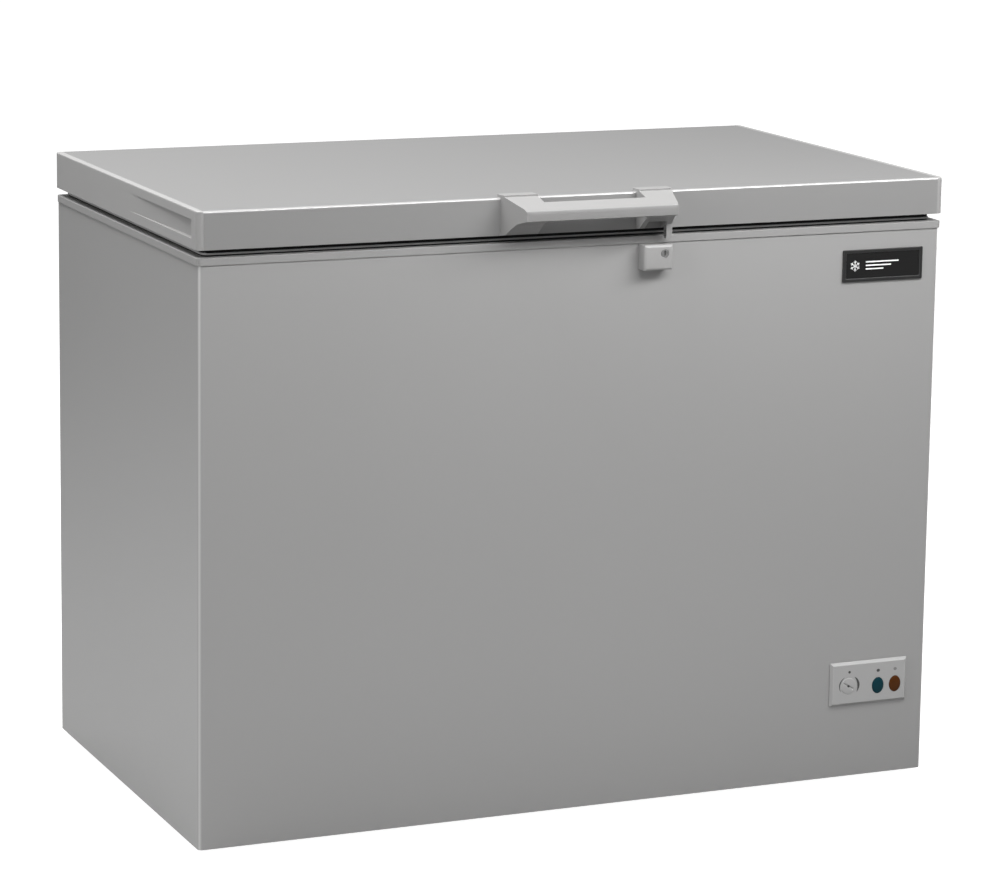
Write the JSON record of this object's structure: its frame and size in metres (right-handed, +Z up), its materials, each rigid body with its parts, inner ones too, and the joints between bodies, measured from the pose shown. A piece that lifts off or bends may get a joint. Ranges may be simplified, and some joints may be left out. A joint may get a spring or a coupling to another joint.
{
  "type": "chest freezer",
  "caption": "Chest freezer with a counterbalanced hinged lid, front handle and key lock, foam-insulated tub, sliding wire basket and a side machine bay.",
  "frame": {"origin": "under the middle of the whole object, at floor level", "axes": "+X to the right seen from the front, +Y to the back, +Z up"},
  "size_m": [1.104, 0.7092, 0.8716],
  "materials": {
    "outer_shell": "satin silver-grey paint",
    "back_panel": "zinc-coated sheet",
    "base_panel": "zinc-coated sheet",
    "inner_liner": "embossed white-coated sheet",
    "bay_liner": "zinc-coated sheet",
    "cabinet_foam": "foamed polyurethane",
    "rim_front": "moulded",
    "rim_rear": "moulded",
    "rim_left": "moulded",
    "rim_right": "moulded",
    "evaporator_coil": "drawn tube",
    "condenser_coil": "drawn tube",
    "compressor": "black enamel",
    "compressor_tray": "zinc-coated sheet",
    "compressor_grommets": "moulded",
    "compressor_bolts": "zinc-plated",
    "relay_box": "moulded",
    "filter_drier": "spun copper",
    "suction_pipe": "drawn copper",
    "discharge_pipe": "drawn copper",
    "capillary_tube": "drawn copper",
    "hinge_bracket_left": "zinc-plated",
    "hinge_bracket_right": "zinc-plated",
    "hinge_arm_left": "zinc-plated",
    "hinge_arm_right": "zinc-plated",
    "hinge_pins": "turned",
    "hinge_springs": "oiled spring wire",
    "hinge_screws_cabinet": "zinc-plated",
    "hinge_screws_lid": "zinc-plated",
    "lid_skin": "satin silver-grey paint",
    "lid_end_left": "moulded",
    "lid_end_right": "moulded",
    "lid_inner_panel": "vacuum-formed",
    "lid_foam": "foamed polyurethane",
    "lid_gasket": "extruded",
    "handle": "moulded",
    "lock_strike": "moulded",
    "lock_body": "moulded",
    "lock_cylinder": "die-cast",
    "lock_hook": "zinc-plated",
    "control_panel": "moulded",
    "thermostat": "pressed",
    "thermostat_dial": "moulded",
    "lamp_green": "tinted lens",
    "lamp_amber": "tinted lens",
    "badge_frame": "moulded",
    "badge_face": "polished",
    "front_feet": "moulded",
    "roller_forks": "zinc-plated",
    "roller_axles": "turned",
    "roller_left": "moulded",
    "roller_right": "moulded",
    "side_grille": "moulded",
    "rear_grille": "pressed",
    "inlet_gland": "moulded",
    "drain_pipe": "extruded",
    "drain_plug": "moulded",
    "wire_basket": "white-coated wire",
    "basket_bail_front": "white-coated wire",
    "basket_bail_rear": "white-coated wire"
  },
  "bodies": {
    "cabinet": {"outer_shell": "outer_shell", "back_panel": "back_panel", "base_panel": "base_panel", "inner_liner": "inner_liner", "bay_liner": "bay_liner", "cabinet_foam": "cabinet_foam", "rim_front": "rim_front", "rim_rear": "rim_rear", "rim_left": "rim_left", "rim_right": "rim_right", "evaporator_coil": "evaporator_coil", "condenser_coil": "condenser_coil", "compressor": "compressor", "compressor_tray": "compressor_tray", "compressor_grommets": "compressor_grommets", "compressor_bolts": "compressor_bolts", "relay_box": "relay_box", "filter_drier": "filter_drier", "suction_pipe": "suction_pipe", "discharge_pipe": "discharge_pipe", "capillary_tube": "capillary_tube", "hinge_bracket_left": "hinge_bracket_left", "hinge_bracket_right": "hinge_bracket_right", "hinge_pins": "hinge_pins", "hinge_springs": "hinge_springs", "hinge_screws_cabinet": "hinge_screws_cabinet", "lock_body": "lock_body", "control_panel": "control_panel", "thermostat": "thermostat", "lamp_green": "lamp_green", "lamp_amber": "lamp_amber", "badge_frame": "badge_frame", "badge_face": "badge_face", "front_feet": "front_feet", "roller_forks": "roller_forks", "roller_axles": "roller_axles", "side_grille": "side_grille", "rear_grille": "rear_grille", "inlet_gland": "inlet_gland", "drain_pipe": "drain_pipe"},
    "lid": {"lid_skin": "lid_skin", "lid_end_left": "lid_end_left", "lid_end_right": "lid_end_right", "lid_inner_panel": "lid_inner_panel", "lid_foam": "lid_foam", "lid_gasket": "lid_gasket", "handle": "handle", "lock_strike": "lock_strike", "hinge_arm_left": "hinge_arm_left", "hinge_arm_right": "hinge_arm_right", "hinge_screws_lid": "hinge_screws_lid"},
    "dial": {"thermostat_dial": "thermostat_dial"},
    "lock": {"lock_cylinder": "lock_cylinder", "lock_hook": "lock_hook"},
    "left_roller": {"roller_left": "roller_left"},
    "right_roller": {"roller_right": "roller_right"},
    "drain_bung": {"drain_plug": "drain_plug"},
    "basket": {"wire_basket": "wire_basket"},
    "front_bail": {"basket_bail_front": "basket_bail_front"},
    "rear_bail": {"basket_bail_rear": "basket_bail_rear"}
  },
  "joints": [
    {"name": "lid_hinge", "type": "hinge", "parent": "cabinet", "child": "lid", "pos_m": [0, 0.34595, 0.81125], "axis": [-1, 0, 0], "range_deg": [0, 82], "stiffness_Nm_per_rad": 14, "springref_deg": 85.94},
    {"name": "dial_turn", "type": "hinge", "parent": "cabinet", "child": "dial", "pos_m": [0.4245, -0.29505, 0.142], "axis": [0, 1, 0], "range_deg": [0, 270]},
    {"name": "lock_turn", "type": "hinge", "parent": "cabinet", "child": "lock", "pos_m": [0.111, -0.31305, 0.784], "axis": [0, 1, 0], "range_deg": [0, 90]},
    {"name": "left_roller_spin", "type": "hinge", "parent": "cabinet", "child": "left_roller", "pos_m": [-0.468, 0.26895, 0.013], "axis": [1, 0, 0], "continuous": true},
    {"name": "right_roller_spin", "type": "hinge", "parent": "cabinet", "child": "right_roller", "pos_m": [0.468, 0.26895, 0.013], "axis": [1, 0, 0], "continuous": true},
    {"name": "drain_pull", "type": "slide", "parent": "cabinet", "child": "drain_bung", "axis": [0, 0, 1], "range_m": [0, 0.03]},
    {"name": "basket_slide", "type": "slide", "parent": "cabinet", "child": "basket", "axis": [1, 0, 0], "range_m": [-0.672, 0]},
    {"name": "front_bail_swing", "type": "hinge", "parent": "basket", "child": "front_bail", "pos_m": [0.336, -0.20705, 0.776], "axis": [1, 0, 0], "range_deg": [0, 175]},
    {"name": "rear_bail_swing", "type": "hinge", "parent": "basket", "child": "rear_bail", "pos_m": [0.336, 0.24295, 0.776], "axis": [-1, 0, 0], "range_deg": [0, 175]}
  ]
}
